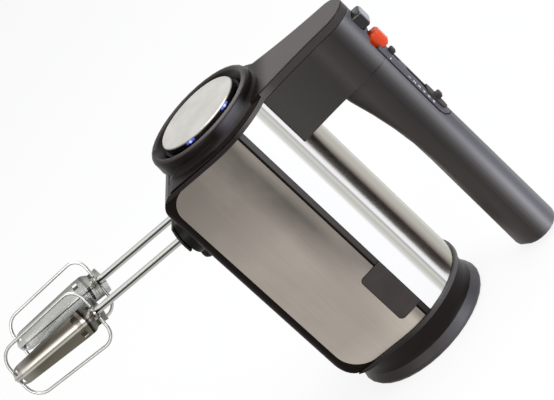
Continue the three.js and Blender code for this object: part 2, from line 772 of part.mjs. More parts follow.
// A strip runs down the riser to a fork over the tails of both beaters.
function ejectSlide() {
  const forkUnder = beaterTail + ejectTravel + 3.5;
  const strip = box([forkUnder, ejectFoot - gap], [-4, 4],
    [alongGrip(ejectAt) - 1, alongGrip(ejectAt) + 1]);
  const plate = box([forkUnder, forkUnder + 2.5], [-wheelCentre - 3.5, wheelCentre + 3.5],
    [-socketBack - 4, alongGrip(ejectAt) + 1]);
  const fingers = [-1, 1].map((side) => solid(
    turnedX([[0, beaterTail + gap], [2.3, beaterTail + gap], [2.3, forkUnder + 1],
      [0, forkUnder + 1]], 16).translate(0, side * wheelCentre, -socketBack)));
  const window = box([0, gripAxis], [-11, 11], [-socketBack + 6, alongGrip(ejectAt) - 8]);
  return join(solid(strip), cut(solid(plate), solid(window)), ...fingers);
}

add(body, 'eject_slide', ejectSlide(), 'steel');

// ---------------------------------------------------------------- drive

const [addendum, dedendum] = [0.75 * wormModule, wormModule];
const lead = Math.PI * wormModule * wormStarts;
const toothAtPitch = Math.PI * wormModule / 2 - 0.4;
const flank = Math.tan(20 * Math.PI / 180);

// Worm with its starts wound right-handed; a groove faces each wheel at rest.
function worm() {
  const outer = wormPitch + addendum;
  const root = wormPitch - dedendum;
  const half = (height) => 2 * Math.PI / (Math.PI * wormModule)
    * (toothAtPitch / 2 - flank * height);
  const profile = [
    [-half(-dedendum), root], [-half(addendum), outer],
    [half(addendum), outer], [half(-dedendum), root], [Math.PI, root],
  ];
  const rings = [];
  const turnsPerRing = 1 / 12;
  const ringCount = Math.round(wormLength / lead / turnsPerRing);
  for (let k = 0; k <= ringCount; k++) {
    const turn = (k - ringCount / 2) * turnsPerRing;
    const points = [];
    for (let start = 0; start < wormStarts; start++) {
      for (const [phase, radius] of profile) {
        const angle = 2 * Math.PI * turn + (phase + 2 * Math.PI * start) / wormStarts;
        points.push(new THREE.Vector3(
          radius * Math.cos(angle), radius * Math.sin(angle), turn * lead - socketBack));
      }
    }
    rings.push(points);
  }
  return solid(loft(rings));
}

// Helical wheel in mesh with the worm, on an axis parallel to X.
function wormWheel(side) {
  const half = (height, radius) => (toothAtPitch / 2 - flank * height) / radius;
  const [tip, root] = [wheelPitch + addendum, wheelPitch - dedendum];
  const twist = lead / (2 * Math.PI * wormPitch) / wheelPitch;
  const ringAt = (x) => {
    const points = [];
    for (let tooth = 0; tooth < wheelTeeth; tooth++) {
      const middle = 2 * Math.PI * tooth / wheelTeeth + twist * x;
      for (const [offset, radius] of [
        [-half(-dedendum, root), root], [-half(addendum, tip), tip],
        [half(addendum, tip), tip], [half(-dedendum, root), root],
      ]) {
        const angle = middle + offset;
        points.push(new THREE.Vector2(radius * Math.cos(angle), radius * Math.sin(angle)));
      }
    }
    return points;
  };
  const blank = prism(new THREE.Shape(ringAt(0)), -wheelWidth / 2, wheelWidth / 2);
  const position = blank.attributes.position;
  for (let i = 0; i < position.count; i++) {
    const angle = twist * position.getZ(i);
    const [a, b] = [position.getX(i), position.getY(i)];
    position.setXY(i, a * Math.cos(angle) - b * Math.sin(angle),
      a * Math.sin(angle) + b * Math.cos(angle));
  }
  const wheel = blank.applyMatrix4(new THREE.Matrix4().makeBasis(
    new THREE.Vector3(0, 1, 0), new THREE.Vector3(0, 0, 1), new THREE.Vector3(1, 0, 0)));
  const bore = turnedX([[0, -wheelWidth], [spindleRadius + gap, -wheelWidth],
    [spindleRadius + gap, wheelWidth], [0, wheelWidth]]);
  return geometryOf(cut(solid(wheel), solid(bore)))
    .translate(0, side * wheelCentre, -socketBack);
}

function spindle(side) {
  const [low, high] = [gap + 1.5 - bossDrop, beaterTail - 1];
  const collar = -wheelWidth / 2 - gap;
  const bore = beaterRadius + gap;
  const profile = [
    [bore, low], [spindleRadius, low], [spindleRadius, collar - 2], [spindleRadius + 2, collar - 2],
    [spindleRadius + 2, collar], [spindleRadius, collar], [spindleRadius, high], [bore, high],
    [bore, low],
  ];
  return turnedX(profile, 12).translate(0, side * wheelCentre, -socketBack);
}

// Die-cast frame that keeps the worm and both wheels at their distance.
function gearFrame() {
  const [front, back] = [gearFront, gearBack];
  const [low, high, half] = [gearFloor, gearRoof, wheelCentre + 8];
  const pieces = [
    box([low, low + gearPlate], [-postAcross - 6, postAcross + 6], [back, front]),
    box([low, high], [-bushRadius * 2, bushRadius * 2], [front - gearPlate, front]),
    box([low, high], [-bushRadius * 2, bushRadius * 2], [back, back + gearPlate]),
    box([high - 2.5, high], [-bushRadius, bushRadius], [back, front]),
    box([high - 2.5, high], [-half, half], [-socketBack - 7.5, -socketBack + 7.5]),
  ].map(solid);
  return cut(join(...pieces), solid(rod(bushRadius + gap, -farReach, 0, 12)),
    bothSockets(spindleRadius + gap, 0, farReach),
    bothSockets(wheelBush + gap, -farReach, 0));
}

for (const [name, side] of [['left', -1], ['right', 1]]) {
  add(body, `spindle_${name}`, spindle(side), 'steel');
  add(body, `worm_wheel_${name}`, wormWheel(side), 'nylon');
  add(body, `spindle_bush_${name}`, cut(
    socket(wheelBush, gearFloor - 2, gearFloor + gearPlate + 2, side),
    socket(spindleRadius + gap, -farReach, 0, side)), 'brass');
}
add(body, 'gear_frame', gearFrame(), 'iron');

// ---------------------------------------------------------------- motor

const stackFront = stackLength / 2 - stackAt;
const stackBack = -stackLength / 2 - stackAt;
const bore = shaftRadius + gap;

// Disc with even slots cut in from its rim.
function slotted(radius, slots, width, depth, from, to) {
  const shape = new THREE.Shape();
  const half = width / 2 / radius;
  for (let k = 0; k < slots; k++) {
    const middle = 2 * Math.PI * k / slots;
    const next = middle + 2 * Math.PI / slots;
    const inner = (angle) => [(radius - depth) * Math.cos(angle), (radius - depth) * Math.sin(angle)];
    const outer = (angle) => [radius * Math.cos(angle), radius * Math.sin(angle)];
    if (k === 0) shape.moveTo(...inner(middle - half));
    else shape.lineTo(...inner(middle - half));
    shape.lineTo(...inner(middle + half));
    shape.lineTo(...outer(middle + half));
    shape.lineTo(...outer((middle + next) / 2));
    shape.lineTo(...outer(next - half));
  }
  return cut(solid(prism(shape, from, to)), solid(rod(bore, from - 1, to + 1, 12)));
}

function statorCore() {
  const [low, high] = [stackBack - 1, stackFront + 1];
  const yoke = cut(
    solid(prism(roundedBox(0, 0, yokeHigh, yokeWide, 10), stackBack, stackFront, 5)),
    solid(prism(roundedBox(0, 0, yokeHigh - 9, yokeWide - 10, 8), low, high, 5)));
  const poles = [-1, 1].flatMap((side) => [
    box(between((armatureRadius - 4) * side, poleHigh * side), [-13, 13],
      [stackBack, stackFront]),
    box(between((poleHigh - 1) * side, (yokeHigh / 2 - 3) * side), [-8, 8],
      [stackBack, stackFront]),
  ]).map(solid);
  return cut(join(yoke, ...poles), solid(rod(armatureRadius + 0.6, low, high, 20)));
}

function fieldCoil(side) {
  const length = stackLength + 2 * gap;
  const [low, high] = between((poleHigh + gap) * side, (yokeHigh / 2 - 4.8) * side);
  return cut(
    solid(sidePrism(roundedBox(0, -stackAt, 26, length + 11, 5), low, high, 4)),
    solid(sidePrism(roundedBox(0, -stackAt, 16 + 2 * gap, length, 1), low - 5, high + 5, 1)));
}

function windingEnd(from, to) {
  const soft = 2;
  const [low, high] = [Math.min(from, to), Math.max(from, to)];
  return ring([[bore + 1, low], [10, low], [10 + soft, low + soft], [10 + soft, high - soft],
    [10, high], [bore + 1, high]], 12);
}

function coolingFan() {
  const [back, front] = [fanAt - fanLong / 2, fanAt + fanLong / 2];
  const vanes = [];
  for (let k = 0; k < fanVanes; k++) {
    const vane = box([shaftRadius * 2, fanRadius + 1], [-0.7, 0.7],
      [-0.6 * fanLong, 0.6 * fanLong]).rotateX(0.3);
    vanes.push(solid(vane.rotateZ(2 * Math.PI * k / fanVanes).translate(0, 0, fanAt)));
  }
  const blades = overlap(join(...vanes), solid(rod(fanRadius - 0.5, back, front, 20)));
  return cut(
    join(solid(rod(shaftRadius * 2.8, back, front, 16)),
      solid(rod(fanRadius, back, back + 1.6, 24)), blades),
    solid(rod(bore, back - 1, front + 1, 12)));
}

function rearBracket() {
  const plate = prism(roundedBox(0, 0, bracketHigh, bracketWide, 8),
    bracketAt - rib / 2, bracketAt + rib / 2, 4);
  const arms = [-1, 1].map((side) => solid(box([-brushWide * 0.75, brushWide * 0.75],
    between(20 * side, 26 * side), [bracketAt, brushAt - brushWide * 0.7 - gap])));
  return cut(join(solid(plate), ...arms), solid(rod(bushRadius + gap, -farReach, 0, 12)));
}

function brushHolder(side) {
  const y = between(11 * side, 26 * side);
  const [outer, inner] = [brushWide * 0.75, brushWide / 2];
  return cut(solid(box([-outer, outer], y, [brushAt - brushWide * 0.7, brushAt + brushWide * 0.7])),
    solid(box([-inner, inner], between(0, farReach * side), [brushAt - inner, brushAt + inner])));
}

const shaftFront = gearFront + 2;
const shaftTail = bracketAt - 8;
add(body, 'motor_shaft', join(solid(rod(shaftRadius, shaftTail, shaftFront, 12)), worm()), 'steel');
add(body, 'armature_core', slotted(armatureRadius, 10, 2.4, 5, stackBack, stackFront), 'iron');
add(body, 'winding_front', windingEnd(stackFront + gap, stackFront + 7), 'copper');
add(body, 'winding_rear', windingEnd(stackBack - gap, stackBack - 7), 'copper');
add(body, 'commutator', slotted(commutatorRadius, 10, 0.7, 0.8, brushAt - 5.5, brushAt + 5.5),
  'copper');
add(body, 'cooling_fan', coolingFan(), 'nylon');
add(body, 'stator_core', statorCore(), 'iron');
add(body, 'field_coil_upper', fieldCoil(1), 'copper');
add(body, 'field_coil_lower', fieldCoil(-1), 'copper');
add(body, 'front_bush', tube(bushRadius, bore, gearFront - 4, gearFront + 1, 12), 'brass');
add(body, 'rear_bush', tube(bushRadius, bore, bracketAt - rib, bracketAt + rib, 12), 'brass');
add(body, 'rear_bracket', rearBracket(), 'nylon');
for (const [name, side] of [['left', -1], ['right', 1]]) {
  add(body, `brush_holder_${name}`, brushHolder(side), 'brass');
  const half = brushWide / 2 - gap;
  add(body, `carbon_brush_${name}`, box([-half, half],
    between((commutatorRadius + gap) * side, 20 * side),
    [brushAt - half, brushAt + half]), 'carbon');
}

// ---------------------------------------------------------------- beater boss

// Two sockets joined by one smooth outline, as (Y, Z).
function stadium(radius) {
  const quarter = Math.PI / 2;
  const shape = new THREE.Shape();
  shape.absarc(wheelCentre, -socketBack, radius, -quarter, quarter);
  shape.absarc(-wheelCentre, -socketBack, radius, quarter, 3 * quarter);
  return shape;
}

function beaterBoss() {
  const [top, under] = [-bellyDepth - gap, 1.5 + gap - bossDrop];
  const front = solid(box([-farReach, 0], [-farReach, farReach],
    [-farReach, bossFront - socketBack]));
  const block = overlap(solid(sidePrism(stadium(14.5), under, top, 8)), front);
  const lugs = [-1, 1].map((side) => solid(turnedX([
    [0, -bossDrop - 2], [lugRadius - 1.3, -bossDrop - 1.2], [lugRadius, -bossDrop + 1],
    [lugRadius, top], [0, top],
  ], 12).translate(0, side * (wheelCentre - 2), lugAt)));
  return cut(join(block, ...lugs), bothSockets(spindleRadius + gap, -farReach, 0));
}

// Plate round both sockets, cut straight in front and behind.
function socketPlate() {
  const plate = solid(sidePrism(stadium(15.8), -bossDrop, 1.5 - bossDrop, 8));
  const straight = solid(box([-farReach, 0], [-farReach, farReach],
    [-socketBack - socketPlateTail, bossFront - socketBack]));
  return cut(overlap(plate, straight), bothSockets(beaterRadius + 0.6, -farReach, 0));
}

add(body, 'beater_boss', beaterBoss(), 'shellDark');
add(body, 'socket_plate', socketPlate(), 'shellDark');

// ---------------------------------------------------------------- beaters

// U-shaped path in the plane of X and Z: from the collar, round the head and back.
function headPath(top, bottom, half, lowHalf, topRound, lowRound) {
  const points = [new THREE.Vector2(top, collarRadius + gap)];
  const arc = (cx, cy, radius, from, to) => {
    for (let k = 0; k <= 5; k++) {
      const angle = from + (to - from) * k / 5;
      points.push(new THREE.Vector2(cx + radius * Math.cos(angle), cy + radius * Math.sin(angle)));
    }
  };
  arc(top - topRound, half - topRound, topRound, 0, Math.PI / 2);
  arc(bottom + lowRound, lowHalf - lowRound, lowRound, Math.PI / 2, Math.PI);
  points.push(new THREE.Vector2(bottom, tipFlat));
  const mirrored = points.map((point) => new THREE.Vector2(point.x, -point.y)).reverse();
  return [...points, ...mirrored];
}

// Section swept along a flat path; sectionAt(point) gives [outward, sideways] pairs.
function sweep(path, sectionAt) {
  const rings = path.map((point, k) => {
    const before = path[Math.max(k - 1, 0)];
    const after = path[Math.min(k + 1, path.length - 1)];
    const along = after.clone().sub(before).normalize();
    const out = new THREE.Vector2(along.y, -along.x);
    return sectionAt(point).map(([depth, side]) => new THREE.Vector3(
      point.x + out.x * depth, side, point.y + out.y * depth));
  });
  return solid(loft(rings));
}

const headLow = -headTop - headLength;
const tipThick = 2.3;
const tipFlat = 3;
const wireTop = -headTop - 0.5 - wireRadius;
const wireLow = headLow + tipThick + gap + wireRadius;
const bladeTop = wireTop - wireRadius - gap - bladeThick;
const bladeLow = wireLow + wireRadius + gap + bladeThick;
const collarRadius = 4.2;
const collarLength = -headTop - bladeTop + 2;

function wireLoop() {
  const path = headPath(wireTop, wireLow, loopHalf, loopHalf - loopTaper, 9.5, 11);
  const circle = [];
  for (let i = 0; i < 8; i++) {
    const angle = 2 * Math.PI * i / 8;
    circle.push([wireRadius * Math.cos(angle), wireRadius * Math.sin(angle)]);
  }
  return sweep(path, () => circle);
}

// Broad strip, ridged along its middle, that tapers to the tip and has punched windows.
function bladeLoop() {
  const path = headPath(bladeTop, bladeLow, bladeHalf, bladeHalf - 0.8, 6, 9);
  const strip = sweep(path, (point) => {
    const down = (bladeTop - point.x) / (bladeTop - bladeLow);
    const out = Math.min((Math.abs(point.y) - tipFlat) / (bladeHalf - tipFlat - 5), 1);
    const half = (bladeWidth + (bladeTip - bladeWidth) * down) / 2 * (0.8 + 0.2 * out);
    const lift = bladeFold * out;
    return [[0, -half], [lift, 0], [0, half],
      [bladeThick, half], [lift + bladeThick, 0], [bladeThick, -half]];
  });
  const windows = [
    [bladeTop - 2.2 - windowLong, bladeWidth * 0.3], [bladeLow + 3.2, bladeTip * 0.27],
  ].flatMap(([x, y]) => [-y, y].map((middle) => solid(box([x, x + windowLong],
    [middle - windowWide / 2, middle + windowWide / 2], [-farReach, farReach]))));
  return geometryOf(cut(strip, ...windows)).rotateX(Math.PI / 2);
}

for (const [name, side, phase] of [['left', -1, leftPhase], ['right', 1, rightPhase]]) {
  const beater = new THREE.Group();
  beater.position.set(0, side * wheelCentre, -socketBack);
  beater.rotation.x = phase * Math.PI / 180;
  body.add(beater);
  const shaftEnd = bladeLow + gap;
  add(beater, `beater_shaft_${name}`, turnedX([
    [0, shaftEnd], [beaterRadius, shaftEnd], [beaterRadius, beaterTail - 6],
    [beaterRadius - 0.6, beaterTail - 5.4], [beaterRadius - 0.6, beaterTail - 3.4],
    [beaterRadius, beaterTail - 2.8], [beaterRadius, beaterTail - 1], [1.6, beaterTail],
    [0, beaterTail],
  ], 14), 'chrome');
  add(beater, `beater_collar_${name}`, turnedX([
    [beaterRadius + gap, -headTop - collarLength], [collarRadius, -headTop - collarLength],
    [collarRadius, -headTop - 1], [collarRadius - 1, -headTop],
    [beaterRadius + gap, -headTop], [beaterRadius + gap, -headTop - collarLength],
  ], 14), 'chrome');
  add(beater, `wire_loop_${name}`, wireLoop(), 'chrome');
  add(beater, `blade_loop_${name}`, bladeLoop(), 'chrome');
  add(beater, `beater_tip_${name}`, turnedX([
    [0, headLow], [2.4, headLow], [3.8, headLow + 1.1], [3.8, headLow + tipThick],
    [0, headLow + tipThick],
  ], 16), 'chrome');
}

export default mixer;
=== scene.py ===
import json
import math

import bpy
from mathutils import Matrix, Vector

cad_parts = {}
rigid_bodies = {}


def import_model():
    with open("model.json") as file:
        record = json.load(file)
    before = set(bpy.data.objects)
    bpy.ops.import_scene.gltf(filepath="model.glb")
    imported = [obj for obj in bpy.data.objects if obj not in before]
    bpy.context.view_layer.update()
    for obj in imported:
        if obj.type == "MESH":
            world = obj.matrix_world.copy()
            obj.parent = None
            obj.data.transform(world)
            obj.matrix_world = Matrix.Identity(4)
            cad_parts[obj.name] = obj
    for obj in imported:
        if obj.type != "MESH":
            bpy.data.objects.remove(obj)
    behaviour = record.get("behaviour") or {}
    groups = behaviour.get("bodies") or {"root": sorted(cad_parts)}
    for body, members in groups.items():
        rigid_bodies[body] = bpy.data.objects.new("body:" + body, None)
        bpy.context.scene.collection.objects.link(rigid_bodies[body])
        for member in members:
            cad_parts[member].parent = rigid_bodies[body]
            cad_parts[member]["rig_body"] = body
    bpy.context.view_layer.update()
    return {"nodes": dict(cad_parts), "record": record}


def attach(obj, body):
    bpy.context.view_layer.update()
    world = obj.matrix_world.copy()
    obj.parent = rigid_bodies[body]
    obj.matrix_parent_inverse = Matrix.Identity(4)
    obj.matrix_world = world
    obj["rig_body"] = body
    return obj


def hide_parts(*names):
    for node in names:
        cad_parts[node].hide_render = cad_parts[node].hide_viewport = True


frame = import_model()
node = frame["nodes"]
subpart = {entry["node"]: entry for entry in frame["record"]["subparts"]}

MM = 0.001

# Each beater's axis stands this far off the middle and above the heel. A beater has its side of
# the middle and the turn of its head about its own axis.
BEATER_OUT = 19.2 * MM
BEATER_UP = 163.3 * MM
BEATERS = {"left": (-1, math.radians(-20)), "right": (1, math.radians(-25))}

# The lamps sit on a ring round the badge, at this radius and height.
LAMP_RING = 31.1 * MM
LAMP_UP = 212.7 * MM


# ---------------------------------------------------------------- camera and light

def place_camera():
    """A long lens over the mixer's left side, tilted so that the handle lies up and right."""
    lens = bpy.data.cameras.new("camera")
    lens.lens = 138.58
    lens.sensor_width = 36
    lens.clip_end = 20
    camera = bpy.data.objects.new("camera", lens)
    bpy.context.collection.objects.link(camera)
    place = Vector((401.9, -1185.0, 630.6)) * MM
    right = Vector((0.7306, -0.0341, -0.6820))
    up = Vector((0.6121, 0.4755, 0.6318))
    back = Vector((0.3027, -0.8791, 0.3683))
    turn = Matrix((right, up, back)).transposed().to_4x4()
    camera.matrix_world = Matrix.Translation(place) @ turn
    bpy.context.scene.camera = camera


def soft_lamp(name, place, size, power, tint=(1, 1, 1)):
    """A flat soft light turned towards the middle of the mixer."""
    middle = Vector((0, 0, 0.11))
    data = bpy.data.lights.new(name, "AREA")
    data.shape = "RECTANGLE"
    data.size, data.size_y = size
    data.energy = power
    data.color = tint
    lamp = bpy.data.objects.new(name, data)
    bpy.context.collection.objects.link(lamp)
    lamp.location = place
    lamp.rotation_euler = (middle - Vector(place)).to_track_quat("-Z", "Y").to_euler()


def seen_or_mirrored(nodes, links):
    """1 where the camera, a mirror or a glass looks straight at a surface, 0 for its light."""
    path = nodes.new("ShaderNodeLightPath")
    bounced = nodes.new("ShaderNodeMath")
    bounced.operation = "MAXIMUM"
    seen = nodes.new("ShaderNodeMath")
    seen.operation = "MAXIMUM"
    links.new(path.outputs["Is Glossy Ray"], bounced.inputs[0])
    links.new(path.outputs["Is Transmission Ray"], bounced.inputs[1])
    links.new(path.outputs["Is Camera Ray"], seen.inputs[0])
    links.new(bounced.outputs[0], seen.inputs[1])
    return seen.outputs[0]


def white_backdrop():
    """A dim room for the light on the mixer, white where it is seen or mirrored."""
    world = bpy.data.worlds.new("studio")
    bpy.context.scene.world = world
    world.use_nodes = True
    nodes, links = world.node_tree.nodes, world.node_tree.links
    nodes.clear()
    out = nodes.new("ShaderNodeOutputWorld")
    mix = nodes.new("ShaderNodeMixShader")
    room = nodes.new("ShaderNodeBackground")
    white = nodes.new("ShaderNodeBackground")
    room.inputs["Color"].default_value = (0.94, 0.95, 1.0, 1)
    room.inputs["Strength"].default_value = 0.4
    white.inputs["Color"].default_value = (1, 1, 1, 1)
    white.inputs["Strength"].default_value = 1.0
    links.new(seen_or_mirrored(nodes, links), mix.inputs[0])
    links.new(room.outputs[0], mix.inputs[1])
    links.new(white.outputs[0], mix.inputs[2])
    links.new(mix.outputs[0], out.inputs[0])


def pale_floor():
    """A matt floor that keeps the mixer's shadow, near white where it is seen or mirrored."""
    pale = 0.86
    bpy.ops.object.select_all(action="DESELECT")
    bpy.ops.mesh.primitive_plane_add(size=6, location=(0, 0, 0))
    floor = bpy.context.object
    floor.name = "floor"
    paint = bpy.data.materials.new("floor_white")
    paint.use_nodes = True
    nodes, links = paint.node_tree.nodes, paint.node_tree.links
    nodes.clear()
    out = nodes.new("ShaderNodeOutputMaterial")
    mix = nodes.new("ShaderNodeMixShader")
    matt = nodes.new("ShaderNodeBsdfDiffuse")
    matt.inputs["Color"].default_value = (pale, pale, pale, 1)
    glow = nodes.new("ShaderNodeEmission")
    part = nodes.new("ShaderNodeMath")
    part.operation = "MULTIPLY"
    part.inputs[1].default_value = pale
    links.new(seen_or_mirrored(nodes, links), part.inputs[0])
    links.new(part.outputs[0], mix.inputs[0])
    links.new(matt.outputs[0], mix.inputs[1])
    links.new(glow.outputs[0], mix.inputs[2])
    links.new(mix.outputs[0], out.inputs[0])
    floor.data.materials.append(paint)


place_camera()
white_backdrop()
pale_floor()
soft_lamp("window_left", (-0.5, -1.6, 0.9), (1.0, 1.0), 12)
soft_lamp("window_right", (1.2, -0.45, 0.42), (0.5, 0.5), 8, (0.88, 0.92, 1.0))
soft_lamp("ceiling", (0.3, 0.3, 1.7), (1.2, 1.2), 22)
bpy.context.scene.view_settings.view_transform = "Standard"


# ---------------------------------------------------------------- finishes

def shade(red, green, blue):
    """A colour as it looks on a screen, 0 to 255, as the light it gives back."""
    return tuple((c / 255 / 12.92 if c <= 10 else ((c / 255 + 0.055) / 1.055) ** 2.4)
                 for c in (red, green, blue)) + (1.0,)


def level(value):
    """A plain grey, as the light it gives back or as a share from 0 to 1."""
    return (value, value, value, 1)


def warm(tone):
    """Bare steel of that brightness, a little yellower than grey."""
    return shade(1.05 * tone, tone, 0.945 * tone)


def plating(tone):
    """Plated steel of that brightness, a touch yellower than grey."""
    return shade(tone, tone, tone - 4)


def spread(low, high, tones):
    """Tones at places between low and high, as a ramp's stops from 0 to 1."""
    return [((place - low) / (high - low), shade(*tone)) for place, tone in tones]


BLACK, WHITE = level(0), level(1)
# Stops of an overlay that darkens and lightens alike.
EVENLY = (0.3, level(0.3)), (0.7, level(0.7))


class Paint:
    """A material with a few short ways to add its pattern."""

    def __init__(self, name, rough, metal=0.0, **sockets):
        self.material = bpy.data.materials.new(name)
        self.material.use_nodes = True
        self.tree = self.material.node_tree
        self.shader = self.tree.nodes["Principled BSDF"]
        self.shader.inputs["Roughness"].default_value = rough
        self.shader.inputs["Metallic"].default_value = metal
        for socket, value in sockets.items():
            self.shader.inputs[socket.replace("_", " ")].default_value = value
        self.where = self.tree.nodes.new("ShaderNodeTexCoord").outputs["Object"]

    def node(self, kind, **settings):
        """A node of that kind, set as told."""
        made = self.tree.nodes.new("ShaderNode" + kind)
        for key, value in settings.items():
            setattr(made, key, value)
        return made

    def put(self, source, target):
        """A link from one socket to another."""
        self.tree.links.new(source, target)

    def feed(self, value, target):
        """A plain number or colour is set on the socket, anything else is linked to it."""
        if isinstance(value, (int, float, tuple)):
            target.default_value = value
        else:
            self.put(value, target)

    def colour(self, source):
        """The colour of the surface."""
        self.put(source, self.shader.inputs["Base Color"])

    def grain(self, scale, stretch=(1, 1, 1), detail=3.0, roughness=0.55):
        """Noise over the piece: scale is in lumps per metre, stretch per axis."""
        turn = self.node("Mapping")
        turn.inputs["Scale"].default_value = stretch
        noise = self.node("TexNoise")
        noise.inputs["Scale"].default_value = scale
        noise.inputs["Detail"].default_value = detail
        noise.inputs["Roughness"].default_value = roughness
        self.put(self.where, turn.inputs["Vector"])
        self.put(turn.outputs[0], noise.inputs["Vector"])
        return noise.outputs["Fac"]

    def ramp(self, source, *stops, smooth=False):
        """Colours along a value from 0 to 1; each stop is a place and a colour."""
        made = self.node("ValToRGB")
        made.color_ramp.interpolation = "EASE" if smooth else "LINEAR"
        points = made.color_ramp.elements
        while len(points) < len(stops):
            points.new(0.5)
        for point, (place, tone) in zip(points, stops):
            point.position = place
            point.color = tone
        self.put(source, made.inputs[0])
        return made.outputs[0]

    def between(self, source, low, high):
        """A value taken from low..high to 0..1."""
        made = self.node("MapRange")
        made.inputs["From Min"].default_value = low
        made.inputs["From Max"].default_value = high
        self.put(source, made.inputs["Value"])
        return made.outputs[0]

    def work(self, operation, one, other=0.0):
        """One step of arithmetic on two values."""
        made = self.node("Math", operation=operation)
        self.feed(one, made.inputs[0])
        self.feed(other, made.inputs[1])
        return made.outputs[0]

    def reach(self, one, other):
        """Length of the line whose two measures are given."""
        squares = self.work("ADD", self.work("MULTIPLY", one, one),
                            self.work("MULTIPLY", other, other))
        return self.work("POWER", squares, 0.5)

    def waves(self, place, pitch):
        """From 0 to 1 and back again over each pitch."""
        return self.work("PINGPONG", self.work("MULTIPLY", place, 2 / pitch), 1.0)

    def outermost(self, name, axis, depth, start, full):
        """From 0 inside to 1 on the outermost layer of a solid along an axis.

        It rises from start to full, which are shares of the layer's depth.
        """
        top = max(point.co[axis] for point in node[name].data.vertices)
        return self.ramp(self.between(self.axes()[axis], top - depth, top),
                         (0.0, BLACK), (start, BLACK), (full, WHITE))

    def patch(self, place, low, high, start, end):
        """1 from start to end, shares of a stretch from low to high, falling softly to 0."""
        return self.ramp(self.between(place, low, high), (0.0, BLACK), (start, WHITE),
                         (end, WHITE), (1.0, BLACK), smooth=True)

    def mix(self, share, one, other, blend="MIX"):
        """One colour, with the other laid over it by the share."""
        made = self.node("Mix", data_type="RGBA", blend_type=blend)
        self.feed(share, made.inputs[0])
        self.feed(one, made.inputs[6])
        self.feed(other, made.inputs[7])
        return made.outputs[2]

    def overlay(self, share, tone, source, *stops):
        """The tone made darker and lighter by a pattern."""
        return self.mix(share, tone, self.ramp(source, *(stops or EVENLY)), "OVERLAY")

    def rough(self, source, low, high):
        """Roughness from low to high over a pattern."""
        made = self.node("MapRange")
        made.inputs["To Min"].default_value = low
        made.inputs["To Max"].default_value = high
        self.put(source, made.inputs["Value"])
        self.put(made.outputs[0], self.shader.inputs["Roughness"])

    def bump(self, source, strength, depth):
        """The surface raised by a pattern, up to the depth."""
        made = self.node("Bump")
        made.inputs["Strength"].default_value = strength
        made.inputs["Distance"].default_value = depth
        self.put(source, made.inputs["Height"])
        self.put(made.outputs[0], self.shader.inputs["Normal"])

    def axes(self):
        """Across the mixer towards the handle, sideways, and along the motor to the badge."""
        made = self.node("SeparateXYZ")
        self.put(self.where, made.inputs[0])
        return made.outputs


class Plastic(Paint):
    """Moulded plastic with the fine grain of a spark-eroded mould."""

    def __init__(self, name, rough, specular, lumps=2600):
        super().__init__(name, rough, Specular_IOR_Level=specular)
        self.fine = self.grain(lumps, detail=2)

    def speckled(self, dark, light):
        """Two close tones over the fine grain."""
        return self.ramp(self.fine, (0.3, dark), (0.7, light))

    def finished(self, tone, low, high, strength=0.12, depth=0.00012):
        """The material in that colour, rough from low to high, with its grain raised."""
        self.colour(tone)
        self.rough(self.grain(300), low, high)
        self.bump(self.fine, strength, depth)
        return self.material


def moulded(name, dark, light, low, high, specular, lumps=2600):
    """One plastic all over, faintly mottled."""
    paint = Plastic(name, low, specular, lumps)
    mottled = paint.work("MULTIPLY", paint.fine, paint.grain(55))
    return paint.finished(paint.ramp(mottled, (0.1, dark), (0.45, light)), low, high)


def brushed_panel():
    """Steel sheet brushed along the body; painted reflection drifts its tone front to rear."""
    paint = Paint("steel_brushed", 0.34, 1.0)
    across, _, along = paint.axes()
    lines = paint.grain(1500, (1, 1, 0.012), detail=4, roughness=0.7)
    cloud = paint.grain(30, (1, 1, 0.6))
    place = paint.between(along, 0.033, 0.193)
    # Painted reflection and shade: darker towards the front, darkest high along the top.
    lower = paint.ramp(place, (0.0, warm(170)), (0.1, warm(158)), (0.6, warm(156)),
                       (0.72, warm(144)), (0.85, warm(131)), (1.0, warm(118)))
    upper = paint.ramp(place, (0.0, warm(184)), (0.08, warm(176)), (0.36, warm(132)),
                       (0.55, warm(108)), (0.73, warm(95)), (1.0, warm(86)))
    tone = paint.mix(paint.between(across, -0.005, 0.012), lower, upper)
    # A painted highlight along the top edge.
    tone_with_edge_highlight = paint.mix(paint.between(across, 0.0135, 0.018), tone, warm(130))
    streaked = paint.overlay(0.10, tone_with_edge_highlight, lines, (0.3, warm(70)), (0.7, warm(200)))
    paint.colour(paint.mix(paint.ramp(cloud, (0.45, BLACK), (0.75, level(0.22))),
                           streaked, warm(178)))
    paint.rough(lines, 0.28, 0.44)
    paint.bump(lines, 0.08, 0.0001)
    return paint.material


